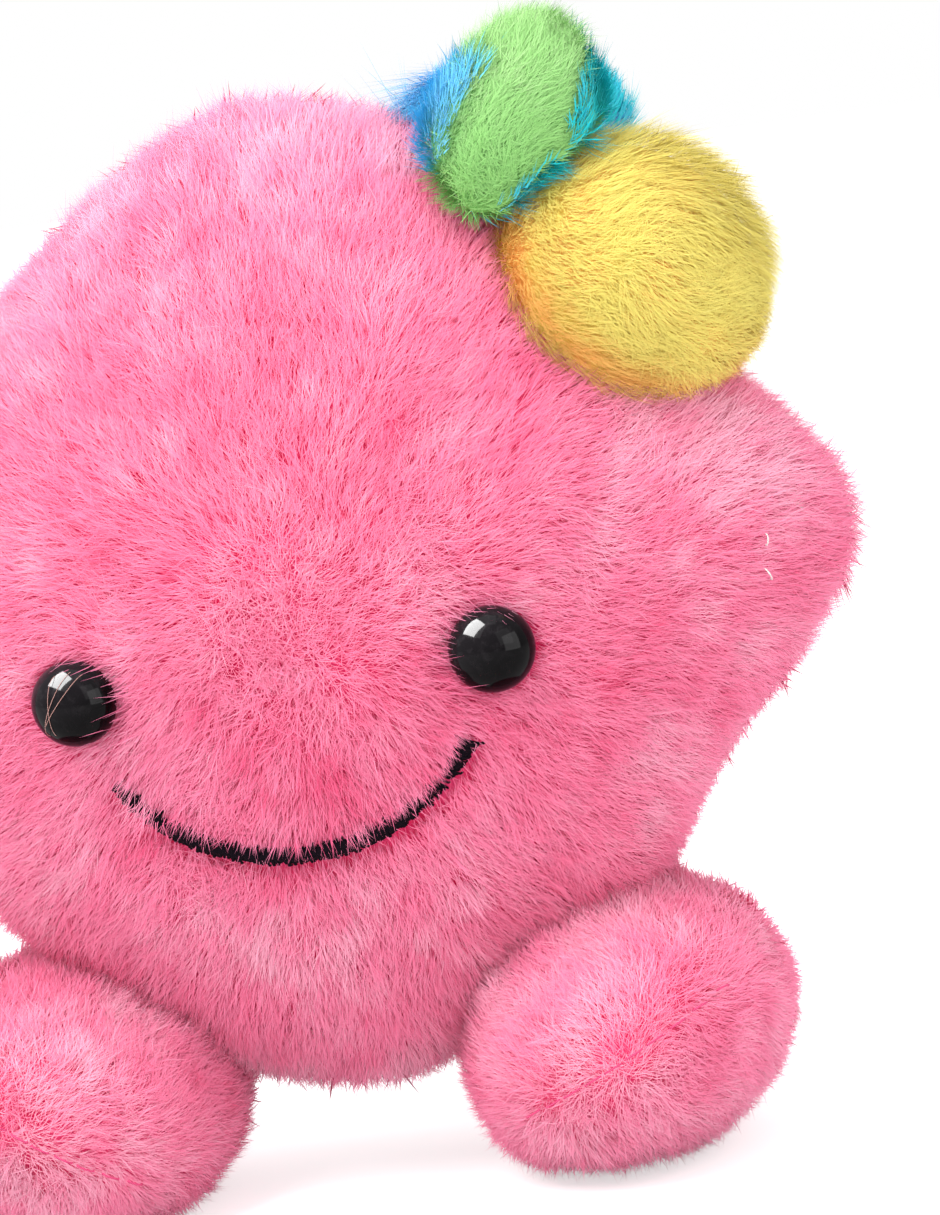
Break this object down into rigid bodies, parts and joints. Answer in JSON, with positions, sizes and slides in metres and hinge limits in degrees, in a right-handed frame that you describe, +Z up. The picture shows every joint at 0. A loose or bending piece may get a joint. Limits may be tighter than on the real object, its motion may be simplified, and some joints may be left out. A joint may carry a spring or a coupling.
{
  "type": "plush star",
  "caption": "Palm-size stuffed star in long-pile plush, with a plain smiling face, stuffed feet and a tail of coloured plush lobes; stands on its feet.",
  "frame": {"origin": "on the ground the toy stands on, under the middle of its bounding box", "axes": "+Z up, the face looks along -Y, +X to the side of the tail"},
  "size_m": [0.1318, 0.061, 0.134],
  "materials": {
    "pink_plush": "long soft pile",
    "yellow_plush": "long soft pile",
    "green_plush": "long soft pile",
    "blue_plush": "long soft pile",
    "eye_plastic": "high gloss",
    "mouth_thread": "satin stitch",
    "white_fibre": "loose fibre",
    "pouch_cloth": "plain woven",
    "washer_plastic": "moulded"
  },
  "bodies": {
    "root": {"body_front_panel": "pink_plush", "body_back_panel": "pink_plush", "foot_right_upper": "pink_plush", "foot_right_sole": "pink_plush", "foot_left_upper": "pink_plush", "foot_left_sole": "pink_plush", "tail_yellow_cover": "yellow_plush", "tail_green_cover": "green_plush", "tail_blue_cover": "blue_plush", "eye_left": "eye_plastic", "eye_right": "eye_plastic", "mouth_embroidery": "mouth_thread", "body_filling": "white_fibre", "bean_pouch": "pouch_cloth", "foot_right_filling": "white_fibre", "foot_left_filling": "white_fibre", "tail_yellow_filling": "white_fibre", "tail_green_filling": "white_fibre", "tail_blue_filling": "white_fibre", "eye_washer_left": "washer_plastic", "eye_washer_right": "washer_plastic"}
  },
  "joints": []
}
